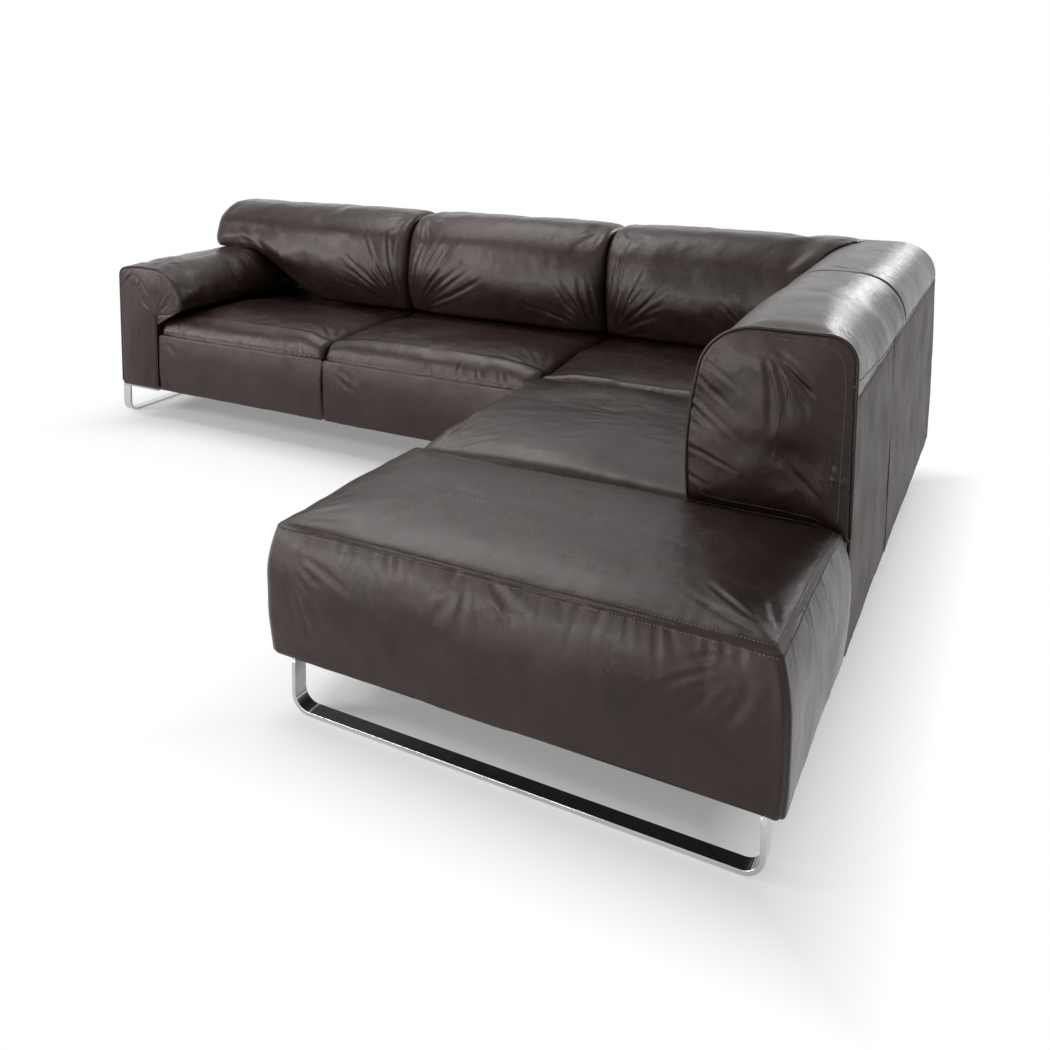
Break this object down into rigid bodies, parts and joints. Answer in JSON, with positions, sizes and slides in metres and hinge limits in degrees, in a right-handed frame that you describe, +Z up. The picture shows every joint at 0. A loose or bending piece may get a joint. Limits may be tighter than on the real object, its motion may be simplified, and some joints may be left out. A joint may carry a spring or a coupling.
{
  "type": "corner_sofa",
  "caption": "Low leather corner sofa with rolled backs, one rolled arm, a seamed ottoman end and flat bar chrome sled legs.",
  "frame": {"origin": "on the floor under the middle of the whole sofa, seen in plan", "axes": "+X runs along the long wing from the arm end to the corner, -Y is the way a sitter on the long wing faces, +Z is up"},
  "size_m": [3.112, 2.386, 0.8604],
  "materials": {
    "leather": "satin",
    "chrome": "polished",
    "steel": "satin",
    "wood": "matte",
    "foam": "matte",
    "webbing": "matte",
    "dust_cloth": "matte",
    "plastic": "matte"
  },
  "bodies": {
    "root": {"arm_cover": "leather", "arm_foam": "foam", "arm_frame": "wood", "arm_front_panel": "leather", "arm_sled": "chrome", "arm_sled_plates": "steel", "back_1_cover": "leather", "back_1_foam": "foam", "back_2_cover": "leather", "back_2_foam": "foam", "back_3_cover": "leather", "back_3_foam": "foam", "chaise_base_frame": "wood", "chaise_dust_cover": "dust_cloth", "corner_back_frame": "wood", "corner_back_webbing": "webbing", "corner_blocks": "wood", "corner_cap_cover": "leather", "corner_cap_foam": "foam", "corner_deck": "wood", "corner_sled": "chrome", "latch_catches": "steel", "latch_tongues": "steel", "left_end_panel": "leather", "ottoman_cover": "leather", "ottoman_foam": "foam", "ottoman_sled": "chrome", "ottoman_webbing": "webbing", "rear_panel_corner": "leather", "rear_panel_wing": "leather", "return_back_cover": "leather", "return_back_foam": "foam", "return_back_frame": "wood", "return_back_webbing": "webbing", "return_end_panel": "leather", "right_panel_front": "leather", "right_panel_rear": "leather", "seat_cover_1": "leather", "seat_cover_2": "leather", "seat_cover_3": "leather", "seat_cover_4": "leather", "seat_foam_1": "foam", "seat_foam_2": "foam", "seat_foam_3": "foam", "seat_foam_4": "foam", "seat_front_1": "leather", "seat_front_2": "leather", "seat_front_4": "leather", "seat_webbing_1": "webbing", "seat_webbing_2": "webbing", "seat_webbing_3": "webbing", "seat_webbing_4": "webbing", "sled_glides": "plastic", "sled_plates": "steel", "sled_screws": "steel", "support_feet": "plastic", "wing_back_frame": "wood", "wing_back_webbing": "webbing", "wing_base_frame": "wood", "wing_dust_cover": "dust_cloth"}
  },
  "joints": []
}
